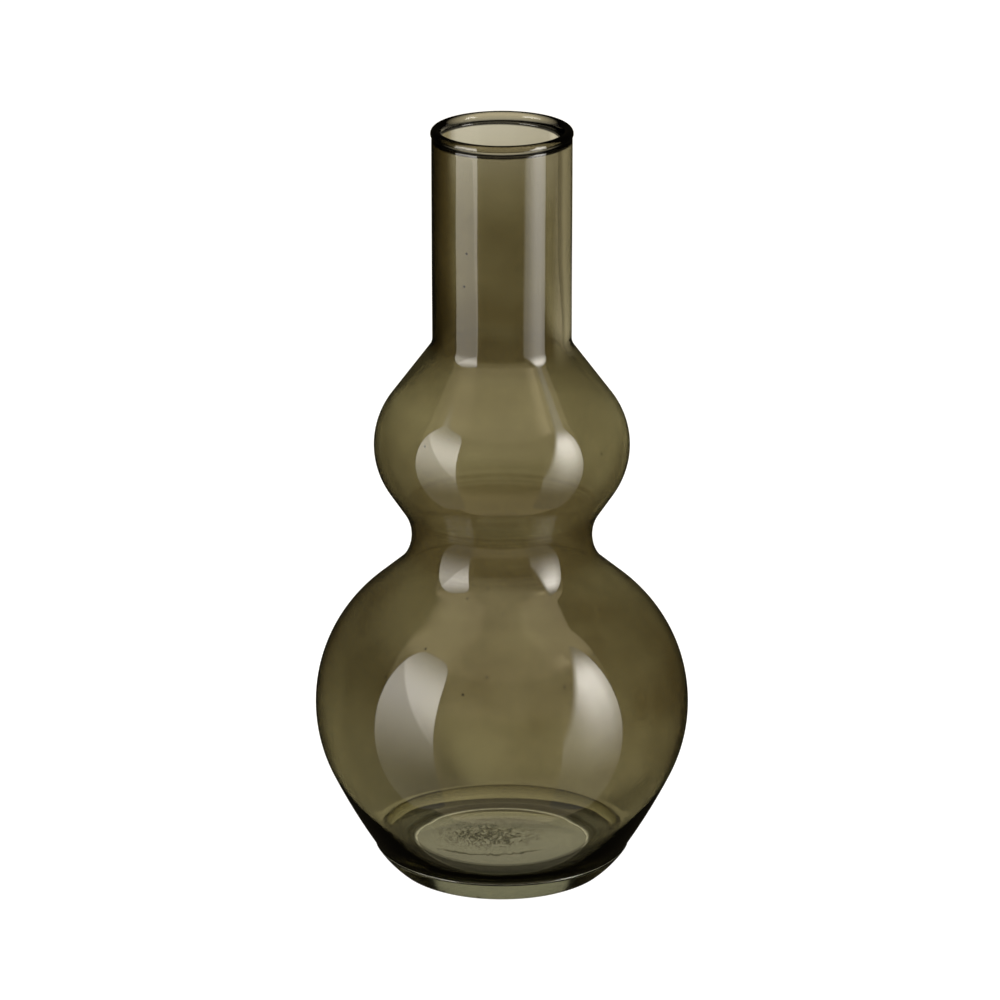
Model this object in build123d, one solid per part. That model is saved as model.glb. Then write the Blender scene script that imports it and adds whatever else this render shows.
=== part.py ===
from build123d import *
import os
from collections import namedtuple
from math import acos, asin, atan2, cos, degrees, hypot, pi, radians, sin, sqrt, tan

# Gourd vase of smoked glass: a blown body of two bulbs under a straight neck,
# a fire-rounded lip bead on the neck's end, and a thick foot disc that closes the body's base.
# Millimetres, +Z up, origin at the centre of the underside.

# Overall sizes
height = 286.5
neck_diameter = 51.4
upper_bulb_diameter = 94.8
waist_diameter = 67.3
lower_bulb_diameter = 140.0
lower_bulb_height = 64.3

# Radii of the round stretches of the side line, and the straight flanks between them
neck_bend_radius = 7.2
shoulder_flank = 24.3
upper_bulb_radius = 29.5
upper_bulb_flank = 10.2
waist_radius = 18.4
lower_bulb_flank = 12.4
lower_bulb_radius = 58.4
base_flank_radius = 255.0
base_flank_angle = 25.3

# Glass thickness, and the heel's inside: a straight slope from the vertical, and the round that turns it into the floor
neck_wall = 3.4
bulb_wall = 1.8
heel_angle = 31.5
heel_cove_radius = 15.0

# Lip bead: the round rod it looks like, and the flat by which it sits on the neck
bead_thickness = 3.75
bead_seat_width = 1.95

# Foot disc: it stands proud of the body at the seam, tapers in below it, and its side bulges a little
foot_height = 9.35
foot_step = 0.35
foot_undercut = 7.8
foot_side_bulge = 0.4
foot_base_edge = 1.2
seam_edge = 0.4
floor_dish_depth = 0.8
standing_ring_width = 7.2
hollow_depth = 1.5

# A round stretch of the side line: its centre's distance from the axis, its centre's height, its radius
Round = namedtuple("Round", "r z radius")

# Which group of rings to take, counted up the axis
BOTTOM = 0
TOP = -1


def rise(radii, flank, offset):
    """Height between the centres of two rounds that a straight flank joins."""
    return sqrt(radii ** 2 + flank ** 2 - offset ** 2)


def outer_rounds():
    """The neck bend, upper bulb, waist and lower bulb, stacked up from the lower bulb."""
    lower = Round(lower_bulb_diameter / 2 - lower_bulb_radius, lower_bulb_height, lower_bulb_radius)
    waist_r = waist_diameter / 2 + waist_radius
    waist_rise = rise(lower_bulb_radius + waist_radius, lower_bulb_flank, waist_r - lower.r)
    waist = Round(waist_r, lower.z + waist_rise, waist_radius)
    upper_r = upper_bulb_diameter / 2 - upper_bulb_radius
    upper_rise = rise(upper_bulb_radius + waist_radius, upper_bulb_flank, waist.r - upper_r)
    upper = Round(upper_r, waist.z + upper_rise, upper_bulb_radius)
    bend_r = neck_diameter / 2 + neck_bend_radius
    bend_rise = rise(upper_bulb_radius + neck_bend_radius, shoulder_flank, bend_r - upper.r)
    bend = Round(bend_r, upper.z + bend_rise, neck_bend_radius)
    return bend, upper, waist, lower


def inner_rounds():
    """The same rounds on the inside of the glass: bulbs shrink and bends grow by the wall."""
    bend, upper, waist, lower = outer_rounds()
    return (
        bend._replace(radius=bend.radius + neck_wall),
        upper._replace(radius=upper.radius - bulb_wall),
        waist._replace(radius=waist.radius + bulb_wall),
        lower._replace(radius=lower.radius - bulb_wall),
    )


def flank_direction(bulb, bend):
    """Angle, about the bulb's centre, at which the straight flank to the bend leaves the bulb."""
    across = bend.r - bulb.r
    up = bend.z - bulb.z
    turn = acos((bulb.radius + bend.radius) / hypot(across, up))
    return atan2(up, across) - turn if up > 0 else atan2(up, across) + turn


def on_round(stretch, angle):
    """Point of a round at an angle about its centre."""
    return (stretch.r + stretch.radius * cos(angle), stretch.z + stretch.radius * sin(angle))


def arc(stretch, start, end):
    """Stretch of a round from one angle to another."""
    return CenterArc((stretch.r, stretch.z), stretch.radius, degrees(start), degrees(end - start))


def side_line(rounds, top_z, low_angle):
    """Neck, bend, upper bulb, waist and lower bulb as one tangent line, down to an angle on the bulb."""
    bend, upper, waist, lower = rounds
    shoulder = flank_direction(upper, bend)
    under = flank_direction(upper, waist)
    over = flank_direction(lower, waist)
    neck_r = bend.r - bend.radius
    return [
        Line((neck_r, top_z), (neck_r, bend.z)),
        arc(bend, pi, pi + shoulder),
        Line(on_round(bend, pi + shoulder), on_round(upper, shoulder)),
        arc(upper, shoulder, under),
        Line(on_round(upper, under), on_round(waist, pi + under)),
        arc(waist, pi + under, pi + over),
        Line(on_round(waist, pi + over), on_round(lower, over)),
        arc(lower, over, low_angle),
    ]


def bead_rise():
    """Height of the bead's centre above its flat seat."""
    return sqrt((bead_thickness / 2) ** 2 - (bead_seat_width / 2) ** 2)


def neck_top():
    """Height of the neck's cut end, where the bead sits."""
    return height - bead_thickness / 2 - bead_rise()


def base_flank():
    """The wide round that carries the lower bulb down to the seam."""
    lower = outer_rounds()[3]
    swing = lower_bulb_radius - base_flank_radius
    angle = -radians(base_flank_angle)
    return Round(lower.r + swing * cos(angle), lower.z + swing * sin(angle), base_flank_radius)


def seam_point():
    """Where the body's outside meets the seam."""
    flank = base_flank()
    return on_round(flank, seam_angle(flank))


def heel_cove():
    """The round between the heel's slope and the level floor. The seam's plane parts it between body and foot."""
    slope = radians(heel_angle)
    start_r, start_z = on_round(inner_rounds()[3], -slope)
    floor_z = foot_height - floor_dish_depth
    end_z = floor_z + heel_cove_radius * (1 - sin(slope))
    end_r = start_r - (start_z - end_z) * tan(slope)
    return Round(end_r - heel_cove_radius * cos(slope), floor_z + heel_cove_radius, heel_cove_radius)


def seam_angle(stretch):
    """Angle, about a round's centre, at which it meets the seam's plane."""
    return asin((foot_height - stretch.z) / stretch.radius)


def turned(edges):
    """Solid of revolution about Z of a closed half section, given as distance from the axis and height."""
    return revolve(Plane.XZ * make_face(edges), Axis.Z)


def widest_ring(solid, level):
    """Widest circular edge at the bottom or the top of a turned solid."""
    rings = solid.edges().filter_by(GeomType.CIRCLE).group_by(Axis.Z)[level]
    return rings.sort_by(SortBy.RADIUS)[-1]


def vase_body():
    """Blown shell, open at the neck's end and at the base, where the foot closes it."""
    top_z = neck_top()
    flank = base_flank()
    cove = heel_cove()
    low_angle = -radians(base_flank_angle)
    slope = -radians(heel_angle)
    outside = side_line(outer_rounds(), top_z, low_angle)
    inside = side_line(inner_rounds(), top_z, slope)
    ends = [
        arc(flank, low_angle, seam_angle(flank)),
        Line(on_round(inner_rounds()[3], slope), on_round(cove, slope)),
        arc(cove, slope, seam_angle(cove)),
        Line(seam_point(), on_round(cove, seam_angle(cove))),
        Line((neck_diameter / 2 - neck_wall, top_z), (neck_diameter / 2, top_z)),
    ]
    shell = turned(outside + inside + ends)
    return fillet(widest_ring(shell, BOTTOM), seam_edge)


def lip_bead():
    """Round bead on the neck's end, flat where it sits, flush with the bore and proud outside."""
    centre_r = neck_diameter / 2 - neck_wall + bead_thickness / 2
    bead = Round(centre_r, neck_top() + bead_rise(), bead_thickness / 2)
    half_flat = asin(bead_seat_width / bead_thickness)
    start = half_flat - pi / 2
    end = 3 * pi / 2 - half_flat
    return turned([arc(bead, start, end), Line(on_round(bead, end), on_round(bead, start))])


def foot():
    """Thick disc under the body: dished floor on top, shallow hollow and a standing ring underneath."""
    seam_r = seam_point()[0] + foot_step
    cove = heel_cove()
    floor_rim = on_round(cove, seam_angle(cove))
    floor_z = foot_height - floor_dish_depth
    base_r = seam_r - foot_undercut
    hollow_r = base_r - standing_ring_width
    chord = Vector(base_r - seam_r, -foot_height)
    bulge = Vector(foot_height, base_r - seam_r) * (foot_side_bulge / chord.length)
    side_middle = Vector((seam_r + base_r) / 2, foot_height / 2) + bulge
    disc = turned([
        Line((0, hollow_depth), (0, floor_z)),
        Line((0, floor_z), (cove.r, floor_z)),
        arc(cove, -pi / 2, seam_angle(cove)),
        Line(floor_rim, (seam_r, foot_height)),
        ThreePointArc((seam_r, foot_height), side_middle, (base_r, 0)),
        Line((base_r, 0), (hollow_r, 0)),
        TangentArc((0, hollow_depth), (hollow_r, 0), tangent=(1, 0)),
    ])
    eased = fillet(widest_ring(disc, TOP), seam_edge)
    return fillet(widest_ring(eased, BOTTOM), foot_base_edge)


os.makedirs("parts", exist_ok=True)
for name, make in (("vase_body", vase_body), ("lip_bead", lip_bead), ("foot", foot)):
    export_step(make(), f"parts/{name}.step")
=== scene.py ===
import math
from collections import namedtuple
import bpy
import numpy as np
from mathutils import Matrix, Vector


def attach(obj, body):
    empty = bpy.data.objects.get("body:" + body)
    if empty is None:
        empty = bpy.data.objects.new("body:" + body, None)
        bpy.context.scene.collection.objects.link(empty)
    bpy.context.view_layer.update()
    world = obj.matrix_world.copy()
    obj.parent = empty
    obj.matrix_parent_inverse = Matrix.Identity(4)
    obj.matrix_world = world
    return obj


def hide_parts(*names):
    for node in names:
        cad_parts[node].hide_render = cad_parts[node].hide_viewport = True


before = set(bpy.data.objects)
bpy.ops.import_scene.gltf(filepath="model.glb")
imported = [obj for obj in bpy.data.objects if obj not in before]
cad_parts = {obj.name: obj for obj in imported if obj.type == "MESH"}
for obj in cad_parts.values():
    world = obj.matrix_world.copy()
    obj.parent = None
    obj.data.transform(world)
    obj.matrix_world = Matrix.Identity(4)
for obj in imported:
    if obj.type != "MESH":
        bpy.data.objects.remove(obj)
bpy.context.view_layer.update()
scene = bpy.context.scene
scene.view_settings.view_transform = "Standard"

# Millimetres to metres, a hair small so that every piece stays inside the CAD box
MM = 0.001 * 0.9998
SEGMENTS = 240
SHARP_ANGLE = math.radians(40)

# Longest step along the side line in millimetres, and shorter ones where it turns tightly or carries marks
STEP = 1.3
BEND_STEP = 0.5
WAIST_STEP = 0.8
COVE_STEP = 0.4
EDGE_STEP = 0.2
SEAM_STEP = 0.15
BEAD_STEP = 0.16
FLOOR_STEP = 0.25
FOOT_SIDE_STEP = 0.6
UNDERSIDE_STEP = 1.0

# Side line of the vase in millimetres. A round has its centre's distance from the axis, its centre's height, its radius
Round = namedtuple("Round", "r z radius")
BEND = Round(32.9, 207.235, 7.2)
UPPER = Round(17.9, 165.855, 29.5)
WAIST = Round(52.05, 130.751, 18.4)
LOWER = Round(11.6, 64.3, 58.4)
BASE_FLANK_RADIUS = 255.0
BASE_FLANK_ANGLE = math.radians(25.3)
HEEL_FLANK_RADIUS = 140.0
HEEL_COVE = 15.0
NECK_WALL = 3.4
BULB_WALL = 1.8
NECK_TOP = 283.023
NECK_EDGE = 0.6
FOOT_TOP = 9.35
SEAM_EDGE = 0.4
SEAT_GAP = 0.03
BEAD_RADIUS = 1.875
BEAD_FLAT = 0.975

# Foot disc in millimetres
FOOT_SEAM_R = 48.01
FOOT_BASE_R = 40.21
FOOT_EDGE = 1.2
FOOT_BULGE = 0.4
FLOOR_DISH = 0.8
HOLLOW_R = 33.0
HOLLOW_DEPTH = 1.5

# The bore lies off the axis, so the neck's wall is thin on the left
BORE_OFFSET = -1.2
BORE_FADE = (206.0, 240.0)


def on_round(stretch, angle):
    """Point of a round at an angle about its centre."""
    return (stretch.r + stretch.radius * math.cos(angle), stretch.z + stretch.radius * math.sin(angle))


def flank_direction(bulb, bend):
    """Angle, about the bulb's centre, at which the straight flank to the bend leaves the bulb."""
    across = bend.r - bulb.r
    up = bend.z - bulb.z
    turn = math.acos((bulb.radius + bend.radius) / math.hypot(across, up))
    return math.atan2(up, across) - turn if up > 0 else math.atan2(up, across) + turn


def arc_points(stretch, start, end, step=STEP):
    """Points along a round from one angle to another."""
    count = max(2, math.ceil(abs(end - start) * stretch.radius / step))
    return [on_round(stretch, start + (end - start) * i / count) for i in range(count + 1)]


def line_points(a, b, step=STEP):
    """Points along a straight run."""
    count = max(1, math.ceil(math.dist(a, b) / step))
    return [(a[0] + (b[0] - a[0]) * i / count, a[1] + (b[1] - a[1]) * i / count) for i in range(count + 1)]


def joined(*runs):
    """One line from runs that meet end to end, without doubled points."""
    points = []
    for run in runs:
        for p in run:
            if not points or math.dist(points[-1], p) > 1e-6:
                points.append(p)
    return points


def grown(stretch, by):
    """A round with the same centre and a larger radius."""
    return stretch._replace(radius=stretch.radius + by)


def side_line(bend, upper, waist, lower, top_z, low_angle):
    """Neck, bend, upper bulb, waist and lower bulb, from the top down to an angle on the lower bulb."""
    shoulder = flank_direction(upper, bend)
    under = flank_direction(upper, waist)
    over = flank_direction(lower, waist)
    neck_r = bend.r - bend.radius
    return joined(
        line_points((neck_r, top_z), (neck_r, bend.z)),
        arc_points(bend, math.pi, math.pi + shoulder, BEND_STEP),
        line_points(on_round(bend, math.pi + shoulder), on_round(upper, shoulder)),
        arc_points(upper, shoulder, under),
        line_points(on_round(upper, under), on_round(waist, math.pi + under)),
        arc_points(waist, math.pi + under, math.pi + over, WAIST_STEP),
        line_points(on_round(waist, math.pi + over), on_round(lower, over)),
        arc_points(lower, over, low_angle),
    )


def height_angle(stretch, z):
    """Angle, about a round's centre, at which it passes a height."""
    return math.asin((z - stretch.z) / stretch.radius)


def base_flank(bulb, radius):
    """The wide round that carries a lower bulb's round down to the base."""
    swing = bulb.radius - radius
    return Round(
        bulb.r + swing * math.cos(BASE_FLANK_ANGLE),
        bulb.z - swing * math.sin(BASE_FLANK_ANGLE),
        radius,
    )


def heel():
    """Inside of the base flank, where the glass thickens, and the cove that turns it into the floor."""
    flank = base_flank(grown(LOWER, -BULB_WALL), HEEL_FLANK_RADIUS)
    z = FOOT_TOP - FLOOR_DISH + HEEL_COVE
    reach = math.sqrt((flank.radius - HEEL_COVE) ** 2 - (z - flank.z) ** 2)
    return flank, Round(flank.r + reach, z, HEEL_COVE)


def body_outside():
    """From the neck's end down to the seam."""
    flank = base_flank(LOWER, BASE_FLANK_RADIUS)
    flank_end = height_angle(flank, FOOT_TOP + SEAM_EDGE)
    top = NECK_TOP - SEAT_GAP
    neck_edge = Round(BEND.r - BEND.radius - NECK_EDGE, top - NECK_EDGE, NECK_EDGE)
    seam_edge = Round(on_round(flank, flank_end)[0] - SEAM_EDGE, FOOT_TOP + SEAM_EDGE, SEAM_EDGE)
    return joined(
        arc_points(neck_edge, math.pi / 2, 0, EDGE_STEP),
        side_line(BEND, UPPER, WAIST, LOWER, top - NECK_EDGE, -BASE_FLANK_ANGLE),
        arc_points(flank, -BASE_FLANK_ANGLE, flank_end),
        arc_points(seam_edge, 0, -math.pi / 2, SEAM_STEP),
    )


def body_inside():
    """From the neck's end down to the cove's end at the seam."""
    top = NECK_TOP - SEAT_GAP
    upper, lower = grown(UPPER, -BULB_WALL), grown(LOWER, -BULB_WALL)
    bend, waist = grown(BEND, NECK_WALL), grown(WAIST, BULB_WALL)
    neck_edge = Round(bend.r - bend.radius + NECK_EDGE, top - NECK_EDGE, NECK_EDGE)
    flank, cove = heel()
    cove_start = math.atan2(cove.z - flank.z, cove.r - flank.r)
    return joined(
        arc_points(neck_edge, math.pi / 2, math.pi, EDGE_STEP),
        side_line(bend, upper, waist, lower, top - NECK_EDGE, -BASE_FLANK_ANGLE),
        arc_points(flank, -BASE_FLANK_ANGLE, cove_start),
        arc_points(cove, cove_start, height_angle(cove, FOOT_TOP), COVE_STEP),
    )


def bead_section():
    """Round rod with a flat by which it sits on the neck's end."""
    centre_r = BEND.r - BEND.radius - NECK_WALL + BEAD_RADIUS
    rise = math.sqrt(BEAD_RADIUS ** 2 - BEAD_FLAT ** 2)
    half_flat = math.asin(BEAD_FLAT / BEAD_RADIUS)
    bead = Round(centre_r, NECK_TOP + rise, BEAD_RADIUS)
    return arc_points(bead, 3 * math.pi / 2 - half_flat, half_flat - math.pi / 2, BEAD_STEP)


def bulged(a, b, bulge, step):
    """Arc from a to b that bulges to the left of the way from a to b."""
    chord = math.dist(a, b)
    radius = (chord ** 2 / 4 + bulge ** 2) / (2 * bulge)
    along_r, along_z = (b[0] - a[0]) / chord, (b[1] - a[1]) / chord
    centre_r = (a[0] + b[0]) / 2 + along_z * (radius - bulge)
    centre_z = (a[1] + b[1]) / 2 - along_r * (radius - bulge)
    start = math.atan2(a[1] - centre_z, a[0] - centre_r)
    end = math.atan2(b[1] - centre_z, b[0] - centre_r)
    return arc_points(Round(centre_r, centre_z, radius), start, end, step)


def foot_section():
    """From the middle of the floor out, down the side and in along the underside."""
    top = FOOT_TOP + SEAT_GAP
    cove = heel()[1]
    floor_z = cove.z - cove.radius
    rim_angle = height_angle(cove, top)
    seam_edge = Round(FOOT_SEAM_R - SEAM_EDGE, top - SEAM_EDGE, SEAM_EDGE)
    slope = math.atan2(top - SEAM_EDGE, FOOT_SEAM_R - FOOT_BASE_R)
    cut = FOOT_EDGE * math.tan(slope / 2)
    side_end = (FOOT_BASE_R + cut * math.cos(slope), cut * math.sin(slope))
    base_edge = Round(FOOT_BASE_R - cut, FOOT_EDGE, FOOT_EDGE)
    hollow_radius = (HOLLOW_R ** 2 + HOLLOW_DEPTH ** 2) / (2 * HOLLOW_DEPTH)
    hollow = Round(0.0, HOLLOW_DEPTH - hollow_radius, hollow_radius)
    hollow_end = math.asin(HOLLOW_R / hollow_radius)
    return joined(
        line_points((0.0, floor_z), (cove.r, floor_z), FLOOR_STEP),
        arc_points(cove, -math.pi / 2, rim_angle, COVE_STEP),
        line_points(on_round(cove, rim_angle), (seam_edge.r, top)),
        arc_points(seam_edge, math.pi / 2, 0, SEAM_STEP),
        bulged((FOOT_SEAM_R, seam_edge.z), side_end, FOOT_BULGE, FOOT_SIDE_STEP),
        arc_points(base_edge, slope - math.pi / 2, -math.pi / 2, EDGE_STEP),
        line_points((base_edge.r, 0.0), (HOLLOW_R, 0.0), UNDERSIDE_STEP),
        arc_points(hollow, math.pi / 2 - hollow_end, math.pi / 2, UNDERSIDE_STEP),
    )


def smooth(value, low, high):
    """0 up to low, 1 from high on, with a soft way between."""
    t = np.clip((value - low) / (high - low), 0.0, 1.0)
    return t * t * (3 - 2 * t)


# Blown glass is never quite true: long shallow waves, in millimetres, kept inside the true surface.
# Each has its count round the vase, its length up it, where it starts and its share
WAVE = 0.022
WAVES = ((2, 19.0, 0.0, 1.0), (3, -11.0, 1.3, 0.7), (5, 6.5, 0.4, 0.5))


def waves(turn, z):
    """How far the outside leaves its true radius, always inward."""
    shares = sum(share for *_, share in WAVES)
    total = sum(share * np.sin(count * turn + z / length + start) for count, length, start, share in WAVES)
    return WAVE * (total - shares)


def plain_place(r, turn, z, share):
    """True round surface."""
    return r * np.cos(turn), r * np.sin(turn), z


def body_place(r, turn, z, share):
    """Waves on the outside, and the bore moved off the axis in the neck."""
    outside = share > 0.5
    r = r + np.where(outside, waves(turn, z), 0.0)
    off = np.where(outside, 0.0, BORE_OFFSET) * smooth(z, *BORE_FADE)
    return r * np.cos(turn) + off, r * np.sin(turn), z


# The floor of the vase where the iron let go: small dents crowd near the middle and strokes lie in front.
# Ring lines have their radius, width and height in millimetres
DENTS = 90
STROKES = 9
MARK_SEED = 7
MARK_DEPTH = (0.01, 0.03)
RING_LINES = ((30.9, 0.35, -0.012), (32.6, 0.4, 0.015))


def dent(draw):
    """Place, lean, length and width of a dent near the middle."""
    return (
        draw.normal(-3.5, 6.5), draw.normal(2.0, 5.5),
        draw.uniform(0, math.pi), draw.uniform(0.8, 3.2), draw.uniform(0.3, 0.6),
    )


def stroke(draw):
    """Place, lean, length and width of a stroke in front."""
    return (
        draw.uniform(-11, 10), draw.uniform(-27, -21),
        draw.normal(0, 0.15), draw.uniform(2.0, 4.5), draw.uniform(0.25, 0.4),
    )


def floor_marks(x, y):
    """Height of the marks on the floor, in millimetres."""
    draw = np.random.RandomState(MARK_SEED)
    height = np.zeros_like(x)
    for kind in [dent] * DENTS + [stroke] * STROKES:
        mark_x, mark_y, lean, long, wide = kind(draw)
        depth = draw.uniform(*MARK_DEPTH) * draw.choice((-1, 1))
        along = (x - mark_x) * math.cos(lean) + (y - mark_y) * math.sin(lean)
        across = (y - mark_y) * math.cos(lean) - (x - mark_x) * math.sin(lean)
        height += depth * np.exp(-(along / long) ** 2 - (across / wide) ** 2)
    return height


def foot_place(r, turn, z, share):
    """Marks and ring lines on the floor."""
    x, y = r * np.cos(turn), r * np.sin(turn)
    on_floor = (z > FOOT_TOP / 2) & (r < heel()[1].r)
    lines = sum(tall * np.exp(-((r - at_r) / wide) ** 2) for at_r, wide, tall in RING_LINES)
    return x, y, z + np.where(on_floor, floor_marks(x, y) + lines, 0.0)


def turned(name, section, closed, place, share=None):
    """Mesh of revolution of a section in millimetres. An open section starts and ends on the axis."""
    section = np.array(section, float)
    rows = section if closed else section[1:-1]
    count = len(rows)
    angles = np.arange(SEGMENTS) * 2 * math.pi / SEGMENTS
    r = np.repeat(rows[:, :1], SEGMENTS, 1)
    z = np.repeat(rows[:, 1:], SEGMENTS, 1)
    turn = np.repeat(angles[None, :], count, 0)
    x, y, z = place(r, turn, z, None if share is None else np.array(share)[:, None])
    points = np.stack([x, y, z], 2).reshape(-1, 3)
    faces = []
    for i in range(count if closed else count - 1):
        j = (i + 1) % count
        for k in range(SEGMENTS):
            n = (k + 1) % SEGMENTS
            faces.append((i * SEGMENTS + k, j * SEGMENTS + k, j * SEGMENTS + n, i * SEGMENTS + n))
    if not closed:
        first, last = len(points), len(points) + 1
        points = np.vstack([points, [[0, 0, z[0].mean()], [0, 0, z[-1].mean()]]])
        for k in range(SEGMENTS):
            n = (k + 1) % SEGMENTS
            faces.append((first, k, n))
            faces.append(((count - 1) * SEGMENTS + k, last, (count - 1) * SEGMENTS + n))
    mesh = bpy.data.meshes.new(name)
    mesh.from_pydata((points * MM).tolist(), [], faces)
    mesh.validate()
    mesh.shade_smooth()
    mesh.set_sharp_from_angle(angle=SHARP_ANGLE)
    if share is not None:
        values = np.repeat(np.array(share, np.float32), SEGMENTS)
        mesh.attributes.new("outside", "FLOAT", "POINT").data.foreach_set("value", values)
    piece = bpy.data.objects.new(name, mesh)
    scene.collection.objects.link(piece)
    return piece


outer = body_outside()
body_loop = joined(outer, body_inside()[::-1])
body_share = [1.0 if i < len(outer) else 0.0 for i in range(len(body_loop))]
body = turned("smoked_glass_body", body_loop, True, body_place, body_share)
lip = turned("smoked_glass_lip", bead_section(), True, plain_place)
foot = turned("pale_glass_foot", foot_section(), False, foot_place)


class Nodes:
    """Short ways to add and link nodes in one tree."""

    def __init__(self, tree):
        self.tree = tree

    def new(self, kind, **settings):
        made = self.tree.nodes.new(kind)
        for key, value in settings.items():
            setattr(made, key, value)
        return made

    def put(self, value, socket):
        """Link an output to a socket, or set the socket to a number or colour."""
        if isinstance(value, bpy.types.NodeSocket):
            self.tree.links.new(value, socket)
        else:
            socket.default_value = value

    def math(self, operation, *values):
        made = self.new("ShaderNodeMath", operation=operation)
        for value, socket in zip(values, made.inputs):
            self.put(value, socket)
        return made.outputs[0]

    def add(self, a, b):
        return self.math("ADD", a, b)

    def sub(self, a, b):
        return self.math("SUBTRACT", a, b)

    def mul(self, a, b):
        return self.math("MULTIPLY", a, b)

    def most(self, a, b):
        return self.math("MAXIMUM", a, b)

    def scaled(self, value, by, plus):
        return self.math("MULTIPLY_ADD", value, by, plus)

    def step(self, value, low, high, start=0.0, end=1.0):
        """Soft step from start to end as value goes from low to high."""
        made = self.new("ShaderNodeMapRange", interpolation_type="SMOOTHSTEP")
        for key, number in (("From Min", low), ("From Max", high), ("To Min", start), ("To Max", end)):
            self.put(number, made.inputs[key])
        self.put(value, made.inputs["Value"])
        return made.outputs["Result"]

    def fall(self, value, low, high):
        """Soft step from 1 to 0 as value goes from low to high."""
        return self.step(value, low, high, 1.0, 0.0)

    def mix(self, factor, a, b, blend="MIX"):
        made = self.new("ShaderNodeMix", data_type="RGBA", blend_type=blend)
        colours = [s for s in made.inputs if s.type == "RGBA"]
        self.put(factor, made.inputs[0])
        self.put(a, colours[0])
        self.put(b, colours[1])
        return [s for s in made.outputs if s.type == "RGBA"][0]

    def split(self, vector):
        made = self.new("ShaderNodeSeparateXYZ")
        self.put(vector, made.inputs[0])
        return made.outputs

    def place(self, kind="Object"):
        return self.new("ShaderNodeTexCoord").outputs[kind]

    def light_path(self, kind):
        return self.new("ShaderNodeLightPath").outputs[kind]

    def texture(self, kind, settings, **values):
        """Texture node with the values of its sockets."""
        made = self.new(kind, **settings)
        for key, value in values.items():
            self.put(value, made.inputs[key])
        return made.outputs

    def ramp(self, value, stops, end, interpolation):
        """Curve of shares over a length in millimetres up to an end. The value is in metres."""
        made = self.new("ShaderNodeValToRGB")
        made.color_ramp.interpolation = interpolation
        elements = made.color_ramp.elements
        while len(elements) < len(stops):
            elements.new(0.5)
        for element, (at_length, share) in zip(elements, stops):
            element.position = at_length / end
            element.color = (share, share, share, 1)
        self.put(self.math("DIVIDE", value, end * 0.001), made.inputs["Fac"])
        return made.outputs["Color"]

    def distance(self, x, y, centre=(0.0, 0.0), stretch=(1.0, 1.0)):
        """Distance in plan from a centre, with each way stretched."""
        squares = []
        for value, middle, share in zip((x, y), centre, stretch):
            part = self.math("DIVIDE", self.sub(value, middle), share)
            squares.append(self.mul(part, part))
        return self.math("SQRT", self.add(*squares))


def glass(name, absorbed, density):
    """Clear smooth glass that takes up light along its thickness."""
    material = bpy.data.materials.new(name)
    material.use_nodes = True
    tree = material.node_tree
    shader = tree.nodes["Principled BSDF"]
    shader.inputs["Transmission Weight"].default_value = 1.0
    shader.inputs["Roughness"].default_value = 0.0
    shader.inputs["IOR"].default_value = 1.5
    inside = tree.nodes.new("ShaderNodeVolumeAbsorption")
    inside.inputs["Color"].default_value = (*absorbed, 1)
    inside.inputs["Density"].default_value = density
    tree.links.new(inside.outputs["Volume"], tree.nodes["Material Output"].inputs["Volume"])
    return material, Nodes(tree), shader.inputs["Base Color"]


def facing(nodes, low, high):
    """1 where the surface faces the eye, falling to 0 at its outline. Tints are multiplied by it to paint shade at the
    outline.
    """
    weight = nodes.new("ShaderNodeLayerWeight")
    weight.inputs["Blend"].default_value = 0.5
    return nodes.step(nodes.sub(1.0, weight.outputs["Facing"]), low, high)


# Strength of the smoke up the vase, with painted shade where it peaks in the creases of the waist (131) and the neck's
# bend (208), as height in millimetres and share of the dark tint
SMOKE_AND_CREASE_SHADE = (
    (0, 0.0), (30, 0.0), (60, 0.61), (88, 0.82), (116, 0.6), (131, 1.2), (149, 0.58),
    (177, 0.1), (199, 0.58), (208, 1.1), (225, 0.48), (240, 0.67), (262, 0.58), (283, 0.3),
)
SMOKE_HEIGHT = 290.0
PALE_SMOKE = (0.262, 0.235, 0.119, 1)
DARK_SMOKE_AND_SHADE = (0.074, 0.0556, 0.0195, 1)
RIM_SMOKE = (0.32, 0.295, 0.205, 1)
# Painted shade on the neck's left side and painted light on its right side
NECK_LEFT_SHADE = (0.07, 0.053, 0.018, 1)
NECK_RIGHT_LIGHT = (0.6, 0.56, 0.41, 1)
BASE_SMOKE = (0.33, 0.3, 0.165, 1)
# Painted shade for the inside of the heel in front
HEEL_SHADE = (0.06, 0.062, 0.045, 1)
CLEAR = (1, 1, 1, 1)
SMOKED = (0.25, 0.2, 0.0)
BODY_DENSITY = 110.0

# Clouds in the smoke, darker to the right in the lower bulb, and fine rings of painted shade at the waist.
# From here on lengths are in metres, each pair from where a change starts to where it ends
CLOUD_SCALE = 42.0
CLOUD_DETAIL = 3.0
CLOUD_SHARE = 0.8
LEAN = 4.0
LEAN_END = (0.06, 0.1)
RINGS_SCALE = 700.0
RINGS_SHARE = 0.7
RINGS_LOW = (0.118, 0.126)
RINGS_HIGH = (0.138, 0.15)

# Where the tints of rim, neck, base, heel and bead seat lie: the neck's right side gets painted light, and its left
# side, the heel and the bead seat get painted shade
RIM_START = (0.256, 0.283)
NECK_START = (0.2, 0.212)
NECK_RIGHT_EDGE = (0.018, 0.022)
NECK_LEFT_EDGE = (-0.021, -0.017)
BASE_END = (0.015, 0.045)
HEEL_RISE = -0.12
HEEL_END = (0.0192, 0.0252)
HEEL_FRONT = (-0.03, 0.01)
SEAT_START = (0.2814, 0.282)
SEAT_SHADE = 0.002

# Seeds in the glass, and how far the painted shade at the outline reaches in: more in the neck, and less elsewhere
SEED_SCALE = 140.0
SEED_SIZE = (0.04, 0.1)
SEED_RARITY = 0.25
OUTLINE_SHADE_LOW = (0.13, 0.02)
OUTLINE_SHADE_HIGH = (0.3, 0.3)


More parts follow.
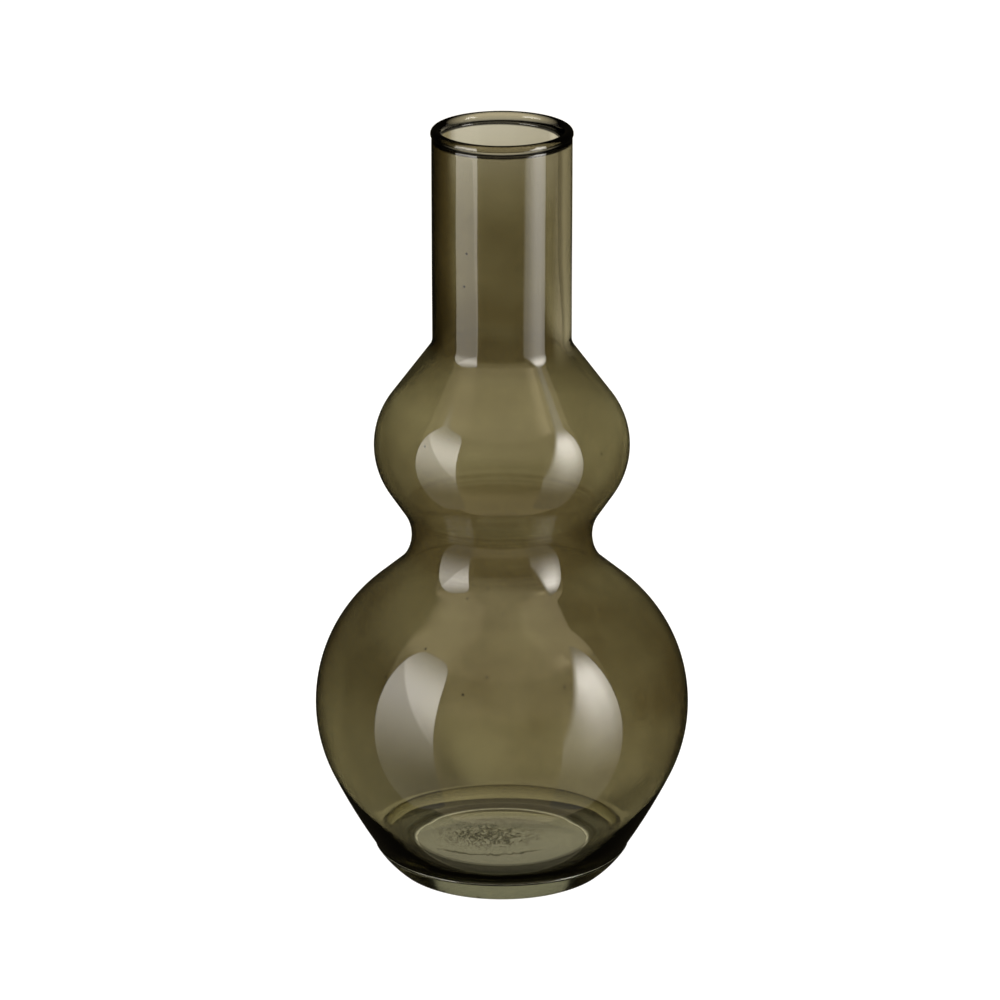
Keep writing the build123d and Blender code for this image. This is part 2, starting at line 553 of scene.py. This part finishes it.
def smoke_and_shade_amount(nodes, where, x, height):
    """Share of the dark tint: smoke strength up the vase with painted shade at the waist and the neck's bend, clouds, a
    lean to the right and rings of painted shade.
    """
    strength = nodes.ramp(height, SMOKE_AND_CREASE_SHADE, SMOKE_HEIGHT, "EASE")
    cloud = nodes.texture("ShaderNodeTexNoise", {}, Vector=where, Scale=CLOUD_SCALE, Detail=CLOUD_DETAIL)
    drift = nodes.mul(nodes.sub(cloud["Fac"], 0.5), CLOUD_SHARE)
    lean = nodes.mul(nodes.mul(x, LEAN), nodes.fall(height, *LEAN_END))
    # Fine rings of painted shade at the waist
    ring = nodes.texture("ShaderNodeTexNoise", {"noise_dimensions": "1D"}, W=height, Scale=RINGS_SCALE)
    at_waist = nodes.mul(nodes.step(height, *RINGS_LOW), nodes.fall(height, *RINGS_HIGH))
    rings = nodes.mul(nodes.sub(ring["Fac"], 0.5), nodes.mul(at_waist, RINGS_SHARE))
    return nodes.add(nodes.add(strength, drift), nodes.add(lean, rings))


def seeds(nodes, where):
    """0 in a few small seeds, 1 elsewhere."""
    cells = nodes.texture("ShaderNodeTexVoronoi", {}, Vector=where, Scale=SEED_SCALE)
    around = nodes.step(cells["Distance"], *SEED_SIZE)
    none_here = nodes.math("GREATER_THAN", nodes.split(cells["Color"])[0], SEED_RARITY)
    return nodes.most(around, none_here)


def smoked_glass():
    """Smoke in the glass and more on its outside, uneven as it was blown, with a few seeds. Painted light pales the
    neck's right side, and painted shade darkens its left side, the outline, the waist, the neck's bend, the heel and
    the bead's seat.
    """
    material, nodes, base = glass("smoked_glass", SMOKED, BODY_DENSITY)
    where = nodes.place()
    x, y, height = nodes.split(where)
    tint = nodes.mix(smoke_and_shade_amount(nodes, where, x, height), PALE_SMOKE, DARK_SMOKE_AND_SHADE)
    tint = nodes.mix(nodes.step(height, *RIM_START), tint, RIM_SMOKE)
    tint = nodes.mix(1.0, tint, seeds(nodes, where), "MULTIPLY")
    in_neck = nodes.step(height, *NECK_START)
    on_right = nodes.step(x, *NECK_RIGHT_EDGE)
    on_left = nodes.fall(x, *NECK_LEFT_EDGE)
    # Painted light pales the neck's right side, and painted shade darkens its left side
    tint = nodes.mix(nodes.mul(in_neck, on_right), tint, NECK_RIGHT_LIGHT)
    tint = nodes.mix(nodes.mul(in_neck, on_left), tint, NECK_LEFT_SHADE)
    tint = nodes.mix(nodes.fall(height, *BASE_END), tint, BASE_SMOKE)
    # Painted shade: the tint darkens towards the outline, and reaches further in on the neck except on its right side
    outline_shade_reach = nodes.mul(in_neck, nodes.sub(1.0, on_right))
    low = nodes.scaled(outline_shade_reach, *OUTLINE_SHADE_LOW)
    high = nodes.scaled(outline_shade_reach, *OUTLINE_SHADE_HIGH)
    tint = nodes.mix(1.0, tint, facing(nodes, low, high), "MULTIPLY")
    # Painted shade: the inner faces of the heel, low down and in front, are tinted nearly black
    in_heel = nodes.fall(nodes.scaled(y, HEEL_RISE, height), *HEEL_END)
    within = nodes.mix(nodes.mul(in_heel, nodes.fall(y, *HEEL_FRONT)), CLEAR, HEEL_SHADE)
    outside = nodes.new("ShaderNodeAttribute", attribute_name="outside").outputs["Fac"]
    tint = nodes.mix(outside, within, tint)
    # Painted shade: the top of the neck under the bead is made nearly black
    seat = nodes.step(height, *SEAT_START, 1.0, SEAT_SHADE)
    nodes.put(nodes.mix(1.0, tint, seat, "MULTIPLY"), base)
    return material


LIP_SMOKE = (0.5, 0.46, 0.34, 1)
LIP_OUTLINE_SHADE = (0.5, 0.97)
LIP_DENSITY = 150.0


def lip_glass():
    """The bead's smoked glass, paler than the body, darkened at its outline as painted shade."""
    material, nodes, base = glass("smoked_glass_lip", SMOKED, LIP_DENSITY)
    # Painted shade darkens the bead's tint towards its outline
    nodes.put(nodes.mix(1.0, LIP_SMOKE, facing(nodes, *LIP_OUTLINE_SHADE), "MULTIPLY"), base)
    return material


# The floor is pale inside and has a dark ring, a little oval, painted as shade: oval radius in millimetres, darkness
FLOOR_SHADE_RING = (
    (0, 0.0), (31.5, 0.0), (32.0, 0.75), (32.5, 0.55), (33.0, 0.75),
    (33.5, 1.0), (34.6, 0.94), (38.6, 0.96), (39.4, 1.0),
)
FLOOR_SHADE_RING_R = 50.0
FLOOR_SHADE_RING_END = (0.0403, 0.0407)
FLOOR_OVAL = (1.07, 0.9)
FLOOR_SHADE_RING_OVAL = (1.06, 0.92)
FLOOR_CENTRE = (0.0, -0.002)
FLOOR_PALE = (0.98, 0.98, 0.93, 1)
# Dark of the real wrinkles on the floor and of its painted shade ring
FLOOR_MARKS_AND_SHADE = (0.005, 0.005, 0.003, 1)
FLOOR_EDGE = (0.85, 0.78, 0.5, 1)
# Painted shade darkening the floor past the ring in front
FLOOR_EDGE_FRONT_SHADE = (0.11, 0.12, 0.085, 1)
FLOOR_FRONT = (-0.006, 0.004)
FOOT_SIDE = (0.27, 0.255, 0.16, 1)
FOOT_HOLLOW = (0.27, 0.27, 0.25, 1)
FOOT_ABSORBED = (0.3, 0.35, 0.2)
FOOT_DENSITY = 6.0
FOOT_OUTLINE_SHADE = (0.0, 0.35)

# Radii and height where the foot's tints change: floor to side, hollow to side, underside to floor
FLOOR_END = (0.0464, 0.0468)
HOLLOW_END = (0.0325, 0.0335)
FLOOR_START = (0.0079, 0.0081)

# Folds round the mark of the iron, drawn out towards the eye, and the long strokes in front of it
FOLD_SCALE = 190.0
FOLD_DETAIL = 5.0
FOLD_ROUGHNESS = 0.65
FOLD_DISTORTION = 2.0
FOLD_DRAWN = (1.0, 0.45, 1.0)
FOLD_WIDTH = (0.002, 0.022, 0.1, 0.008)
FOLD_DARK = (0.3, 1.0, 0.95, 0.0)
IRON_CENTRE = (-0.005, -0.001)
IRON_OVAL = (1.1, 0.8)
IRON_END = (0.019, 0.026)
STROKE_AT = (0.008, 0.0225)
STROKE_DARK = (0.0004, 0.0012, 0.95, 0.0)
STROKE_FRONT = (-0.019, -0.016)


def wrinkles(nodes, where, x, y):
    """Darkness of the folds and strokes on the floor."""
    drawn = nodes.new("ShaderNodeVectorMath", operation="MULTIPLY")
    drawn.inputs[1].default_value = FOLD_DRAWN
    nodes.put(where, drawn.inputs[0])
    folds = nodes.texture(
        "ShaderNodeTexNoise", {}, Vector=drawn.outputs[0], Scale=FOLD_SCALE, Detail=FOLD_DETAIL,
        Roughness=FOLD_ROUGHNESS, Distortion=FOLD_DISTORTION,
    )["Fac"]
    from_iron = nodes.distance(x, y, IRON_CENTRE, IRON_OVAL)
    fold = nodes.math("ABSOLUTE", nodes.sub(folds, 0.5))
    fold = nodes.math("DIVIDE", fold, nodes.step(from_iron, *FOLD_WIDTH))
    fold = nodes.mul(nodes.step(fold, *FOLD_DARK), nodes.fall(from_iron, *IRON_END))
    from_stroke = nodes.math("ABSOLUTE", nodes.sub(from_iron, nodes.scaled(folds, *STROKE_AT)))
    long_stroke = nodes.mul(nodes.step(from_stroke, *STROKE_DARK), nodes.fall(y, *STROKE_FRONT))
    return nodes.most(fold, long_stroke)


def pale_glass():
    """Pale glass. Its floor has a dark ring of painted shade and painted shade past it in front, and wrinkles where the
    iron let go. Its outline is darkened as painted shade.
    """
    material, nodes, base = glass("pale_glass", FOOT_ABSORBED, FOOT_DENSITY)
    where = nodes.place()
    x, y, z = nodes.split(where)
    away = nodes.distance(x, y)
    # Painted shade: a dark ring on the floor, and the floor past it darkened in front
    ring = nodes.ramp(nodes.distance(x, y, FLOOR_CENTRE, FLOOR_OVAL), FLOOR_SHADE_RING, FLOOR_SHADE_RING_R, "LINEAR")
    floor_tint = nodes.mix(nodes.most(ring, wrinkles(nodes, where, x, y)), FLOOR_PALE, FLOOR_MARKS_AND_SHADE)
    edge = nodes.mix(nodes.fall(y, *FLOOR_FRONT), FLOOR_EDGE, FLOOR_EDGE_FRONT_SHADE)
    past_ring = nodes.step(nodes.distance(x, y, (0.0, 0.0), FLOOR_SHADE_RING_OVAL), *FLOOR_SHADE_RING_END)
    floor_tint = nodes.mix(past_ring, floor_tint, edge)
    floor_tint = nodes.mix(nodes.step(away, *FLOOR_END), floor_tint, FOOT_SIDE)
    tint = nodes.mix(nodes.step(away, *HOLLOW_END), FOOT_HOLLOW, FOOT_SIDE)
    tint = nodes.mix(nodes.step(z, *FLOOR_START), tint, floor_tint)
    # Painted shade darkens the foot's tint towards its outline
    nodes.put(nodes.mix(1.0, tint, facing(nodes, *FOOT_OUTLINE_SHADE), "MULTIPLY"), base)
    return material


body.data.materials.append(smoked_glass())
lip.data.materials.append(lip_glass())
foot.data.materials.append(pale_glass())

for piece, cad_node, slot in (
    (body, "vase_body", "smoked_glass"),
    (lip, "lip_bead", "smoked_glass"),
    (foot, "foot", "pale_glass"),
):
    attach(piece, "root")
    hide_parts(cad_node)


def cosines(angles):
    return [math.cos(math.radians(angle)) for angle in angles]


def sines(angles):
    return [math.sin(math.radians(angle)) for angle in angles]


# Grey flags stand left and right of the white behind, and dim what the glass bends in at its edges.
# Each has the angles from straight behind where it starts and ends softly, and its level
FLAG_LEFT = ((15.0, 4.0), (72.0, 58.0), 0.42)
FLAG_RIGHT = ((48.0, 34.0), (74.0, 60.0), 0.4)
NEAR_AXIS = 1e-5


def flags(nodes, x, y):
    """Share of white left after the flags, with the distance in plan and the cosine from straight behind."""
    away = nodes.math("SQRT", nodes.add(nodes.mul(x, x), nodes.mul(y, y)))
    back = nodes.math("DIVIDE", y, nodes.most(away, NEAR_AXIS))
    white = 1.0
    for (start, end, level), on_side in ((FLAG_LEFT, "LESS_THAN"), (FLAG_RIGHT, "GREATER_THAN")):
        dark = nodes.step(back, *cosines(start), 1.0 - level, 0.0)
        dark = nodes.mul(dark, nodes.step(back, *cosines(end)))
        dark = nodes.mul(dark, nodes.math(on_side, x, 0.0))
        white = nodes.sub(white, dark)
    return white, away, back


def plane(name, corners):
    """Flat piece of the studio with four corners."""
    mesh = bpy.data.meshes.new(name)
    mesh.from_pydata(corners, [], [(0, 1, 2, 3)])
    made = bpy.data.objects.new(name, mesh)
    scene.collection.objects.link(made)
    return made


# Floor: white by its own colour, a share that takes light and shadow, and a painted shadow under and round the standing
# ring
FLOOR_HALF = 3.0
FLOOR_GREY = (0.3, 0.3, 0.3, 1)
FLOOR_WHITE = 0.92
RING_SHADOW_DEPTH = -0.88
RING_SHADOW_INSIDE = (0.0333, 0.0345)
RING_SHADOW_OUTSIDE = (0.0385, 0.0402)
SHADE_OUTSIDE = (0.046, 0.056)
SHADE_FRONT = (0.0, 0.02)
UNDER_VASE = 0.06


def floor_paint():
    """White floor with a painted shadow under and round the standing ring. The flags dim it only where it is seen
    through the glass, away from the vase.
    """
    material = bpy.data.materials.new("floor")
    material.use_nodes = True
    nodes = Nodes(material.node_tree)
    shader = material.node_tree.nodes["Principled BSDF"]
    shader.inputs["Base Color"].default_value = FLOOR_GREY
    shader.inputs["Roughness"].default_value = 1.0
    shader.inputs["Specular IOR Level"].default_value = 0.0
    shader.inputs["Emission Color"].default_value = CLEAR
    x, y, _ = nodes.split(nodes.place())
    share, away, _ = flags(nodes, x, y)
    through = nodes.light_path("Is Transmission Ray")
    near = nodes.math("LESS_THAN", away, UNDER_VASE)
    share = nodes.most(share, nodes.most(near, nodes.sub(1.0, through)))
    # Painted shadow: the floor's glow is taken down in a ring under the standing ring, and reaches further out in front
    # where it is seen through the glass
    ring_end = nodes.fall(away, *RING_SHADOW_OUTSIDE)
    shade_end = nodes.mul(nodes.fall(away, *SHADE_OUTSIDE), through)
    shade_end = nodes.mul(shade_end, nodes.fall(y, *SHADE_FRONT))
    ring = nodes.mul(nodes.step(away, *RING_SHADOW_INSIDE), nodes.most(ring_end, shade_end))
    open_floor = nodes.scaled(ring, RING_SHADOW_DEPTH, FLOOR_WHITE)
    nodes.put(nodes.mul(share, open_floor), shader.inputs["Emission Strength"])
    return material


floor = plane("floor", [
    (-FLOOR_HALF, -FLOOR_HALF, 0), (FLOOR_HALF, -FLOOR_HALF, 0),
    (FLOOR_HALF, FLOOR_HALF, 0), (-FLOOR_HALF, FLOOR_HALF, 0),
])
floor.data.materials.append(floor_paint())
floor.visible_glossy = False

# Softboxes, seen only in reflections: their colour, distance and lower edge,
# the turn between the glow's spread below and above its peak, and a plain glow by height
BOX_COLOUR = (1.0, 0.96, 0.88, 1)
BOX_DISTANCE = 0.743
BOX_LOW = -0.9
PEAK_TURN = (-0.01, 0.01)
PLAIN_LOW = (-0.38, 0.08, 0.4, 1.5)
PLAIN_HIGH = (0.6, 0.95, 1.0, 0.7)
OUTLINE_SOFT = (0.85, 1.0)


def at(azimuth, z):
    """Point at the boxes' distance, at an angle to the right of the camera's direction."""
    a = math.radians(azimuth)
    return (BOX_DISTANCE * math.sin(a), -BOX_DISTANCE * math.cos(a), z)


def softbox(name, start, end, high, peak, peak_z, spread, shape):
    """Tall box from one angle to another, with a glow at a height.

    Its shape gives the glow's share and where the box is.
    """
    box = plane(name, [at(start, BOX_LOW), at(end, BOX_LOW), at(end, high), at(start, high)])
    uv = box.data.uv_layers.new(name="across")
    for i, point in enumerate(((0, 0), (1, 0), (1, 1), (0, 1))):
        uv.data[i].uv = point
    material = bpy.data.materials.new(name)
    material.use_nodes = True
    material.node_tree.nodes.clear()
    nodes = Nodes(material.node_tree)
    z = nodes.split(nodes.place())[2]
    across, up, _ = nodes.split(nodes.place("UV"))
    share, inside = shape(nodes, across, up, z)
    off = nodes.sub(z, peak_z)
    off = nodes.math("DIVIDE", off, nodes.step(off, *PEAK_TURN, *spread))
    bell = nodes.math("EXPONENT", nodes.mul(nodes.mul(off, off), -1.0))
    bell = nodes.mul(nodes.mul(bell, peak), share)
    plain = nodes.mul(nodes.step(z, *PLAIN_LOW), nodes.step(z, *PLAIN_HIGH))
    glow = nodes.new("ShaderNodeEmission")
    glow.inputs["Color"].default_value = BOX_COLOUR
    nodes.put(nodes.add(bell, plain), glow.inputs["Strength"])
    either = nodes.new("ShaderNodeMixShader")
    nodes.put(inside, either.inputs[0])
    nodes.put(nodes.new("ShaderNodeBsdfTransparent").outputs[0], either.inputs[1])
    nodes.put(glow.outputs[0], either.inputs[2])
    nodes.put(either.outputs[0], nodes.new("ShaderNodeOutputMaterial").inputs["Surface"])
    box.data.materials.append(material)
    box.visible_camera = False
    box.visible_transmission = False


def rounded_box(nodes, across, up, power):
    """1 inside a rounded outline, 0 at its corners. A higher power gives squarer corners."""
    parts = [
        nodes.math("POWER", nodes.math("ABSOLUTE", nodes.scaled(part, 2.0, -1.0)), power)
        for part in (across, up)
    ]
    return nodes.fall(nodes.add(*parts), *OUTLINE_SOFT)


LEFT_POWER = 4.0
LEFT_SLANT = 1.5
LEFT_CREASE = (0.88, 0.96, 0.55, 1.0)
RIGHT_POWER = 9.0
RIGHT_INNER = (0.1, 0.62, 0.15, 1.0)
RIGHT_OUTER = (0.75, 1.0, 1.0, 0.5)
RIGHT_SLANT = -0.85
RIGHT_EDGE = (-0.06, 0.1)


def left_shape(nodes, across, up, z):
    """Rounded, and bright above a slanting crease."""
    crease = nodes.scaled(z, LEFT_SLANT, across)
    return nodes.step(crease, *LEFT_CREASE), rounded_box(nodes, across, up, LEFT_POWER)


def right_shape(nodes, across, up, z):
    """Soft on its inner side, which slants out towards the top."""
    share = nodes.mul(nodes.step(across, *RIGHT_INNER), nodes.step(across, *RIGHT_OUTER))
    slant = nodes.step(nodes.scaled(z, RIGHT_SLANT, across), *RIGHT_EDGE)
    return share, nodes.mul(slant, rounded_box(nodes, across, up, RIGHT_POWER))


softbox("softbox_left", -80.0, -39.5, 0.86, 7.6, 0.36, (0.3, 0.33), left_shape)
softbox("softbox_right", 35.0, 74.5, 1.05, 12.5, 0.48, (0.38, 0.24), right_shape)

# White seen through the glass, in degrees: the flags count low down, and above them it is a window straight behind
FLAGS_TOP = (9, 14)
WINDOW_SIDES = (31, 25)
WINDOW_BESIDE = 0.1
WINDOW_TOP = (34, 40)
WINDOW_ABOVE = 0.3

# The room that reflections see: how far round its edges lie on each side, and how soft they are
ROOM_COLOUR = (1.0, 0.84, 0.52, 1)
ROOM_SIDE = (-0.05, 0.05)
ROOM_REACH = (-0.2, 0.45)
ROOM_LEFT = -0.16
ROOM_LEFT_LOW = -0.12
ROOM_RIGHT = -0.224
ROOM_SOFT = (0.6, 0.03)
ROOM_SOFT_POWER = 6.0
ROOM_DARKEST = 0.012

# Its level, dimmer ahead at the vase's height and brighter overhead at the sides, with angles in degrees
ROOM_LEVEL = 0.72
DIP_SIDES = (44, 32)
DIP_BOTTOM = (-40, -26)
DIP_TOP = (22, 6)
DIP_DEPTH = 0.6
OVERHEAD = (38, 46)
OVERHEAD_SIDES = (35, 55)
OVERHEAD_SHARE = (0.6, 0.4)

# Its lower end, which rises to the sides
ROOM_BOTTOM = 0.945
ROOM_BOTTOM_RISE = 0.33
ROOM_BOTTOM_POWER = 3.0
ROOM_BOTTOM_SOFT = (0.0, 0.02)

# A ragged streak of light high on the right
STREAK_SCALE = 90.0
STREAK_ROUGH = 0.1
STREAK_OUTER = (61.5, 60.5)
STREAK_INNER = (60, 42)
STREAK_LOW = (43, 46)
STREAK_HIGH = (50, 54)
STREAK_LEVEL = 1.2


def white_behind(nodes, between_flags, back, dz):
    """White seen through the glass."""
    window = nodes.step(back, *cosines(WINDOW_SIDES), WINDOW_BESIDE, 1.0)
    window = nodes.mul(window, nodes.step(dz, *sines(WINDOW_TOP), 1.0, WINDOW_ABOVE))
    low = nodes.fall(dz, *sines(FLAGS_TOP))
    return nodes.add(nodes.mul(between_flags, low), nodes.mul(window, nodes.sub(1.0, low)))


def room_shape(nodes, dy, dz, level, right):
    """1 in the room, 0 behind its edges, which reach further back overhead."""
    up = nodes.most(dz, 0.0)
    down = nodes.most(nodes.mul(dz, -1.0), 0.0)
    left = nodes.sub(1.0, right)
    reach = nodes.mul(nodes.mul(up, up), nodes.scaled(right, *ROOM_REACH))
    left_limit = nodes.mul(nodes.most(level, nodes.math("LESS_THAN", dz, 0.0)), ROOM_LEFT)
    left_limit = nodes.scaled(down, ROOM_LEFT_LOW, left_limit)
    right_limit = nodes.mul(level, ROOM_RIGHT)
    limit = nodes.add(nodes.mul(right, right_limit), nodes.mul(left, left_limit))
    soft = nodes.scaled(nodes.mul(nodes.math("POWER", up, ROOM_SOFT_POWER), left), *ROOM_SOFT)
    return nodes.step(nodes.sub(nodes.add(limit, reach), dy), 0.0, soft)


def room_level(nodes, front, dz):
    """Light of the room by direction, 0 below its lower end."""
    dip = nodes.step(front, *cosines(DIP_SIDES))
    dip = nodes.mul(dip, nodes.step(dz, *sines(DIP_BOTTOM)))
    dip = nodes.mul(dip, nodes.step(dz, *sines(DIP_TOP)))
    overhead = nodes.scaled(nodes.step(front, *cosines(OVERHEAD_SIDES)), *OVERHEAD_SHARE)
    overhead = nodes.mul(nodes.step(dz, *sines(OVERHEAD)), overhead)
    light = nodes.sub(nodes.add(overhead, ROOM_LEVEL), nodes.mul(dip, DIP_DEPTH))
    aside = nodes.math("POWER", nodes.most(nodes.sub(1.0, front), 0.0), ROOM_BOTTOM_POWER)
    above = nodes.sub(nodes.add(dz, ROOM_BOTTOM), nodes.mul(aside, ROOM_BOTTOM_RISE))
    return nodes.mul(light, nodes.step(above, *ROOM_BOTTOM_SOFT))


def streak(nodes, where, front, dz, right):
    """Light of the ragged streak."""
    rough = nodes.texture("ShaderNodeTexNoise", {}, Vector=where, Scale=STREAK_SCALE)["Fac"]
    ragged = nodes.scaled(rough, STREAK_ROUGH, nodes.sub(front, STREAK_ROUGH / 2))
    sides = nodes.mul(nodes.step(ragged, *cosines(STREAK_OUTER)), nodes.fall(front, *cosines(STREAK_INNER)))
    ends = nodes.mul(nodes.step(dz, *sines(STREAK_LOW)), nodes.fall(dz, *sines(STREAK_HIGH)))
    return nodes.mul(nodes.mul(nodes.mul(sides, ends), right), STREAK_LEVEL)


def studio():
    """White behind the vase, a dim room in front of it, dark at its sides, and white to the camera."""
    world = bpy.data.worlds.new("studio")
    world.use_nodes = True
    world.node_tree.nodes.clear()
    nodes = Nodes(world.node_tree)
    where = nodes.place("Generated")
    dx, dy, dz = nodes.split(where)
    between_flags, level, back = flags(nodes, dx, dy)
    front = nodes.mul(back, -1.0)
    right = nodes.step(dx, *ROOM_SIDE)
    room = nodes.mul(room_shape(nodes, dy, dz, level, right), room_level(nodes, front, dz))
    mirrored = nodes.add(nodes.add(room, streak(nodes, where, front, dz, right)), ROOM_DARKEST)
    through = nodes.light_path("Is Transmission Ray")
    to_camera = nodes.light_path("Is Camera Ray")
    light = nodes.mul(mirrored, nodes.sub(1.0, through))
    light = nodes.add(light, nodes.mul(white_behind(nodes, between_flags, back, dz), through))
    sky = nodes.new("ShaderNodeBackground")
    nodes.put(nodes.mix(nodes.most(through, to_camera), ROOM_COLOUR, CLEAR), sky.inputs["Color"])
    nodes.put(nodes.most(light, to_camera), sky.inputs["Strength"])
    nodes.put(sky.outputs[0], nodes.new("ShaderNodeOutputWorld").inputs["Surface"])
    return world


scene.world = studio()

# Camera at the photograph's angle
TARGET = Vector((-0.0007, 0.0, 0.1438))
camera = bpy.data.objects.new("camera", bpy.data.cameras.new("camera"))
scene.collection.objects.link(camera)
camera.location = (-0.0007, -1.8888, 0.8015)
camera.rotation_euler = (TARGET - camera.location).to_track_quat("-Z", "Y").to_euler()
camera.data.lens = 194.04
camera.data.sensor_width = 36.0
scene.camera = camera
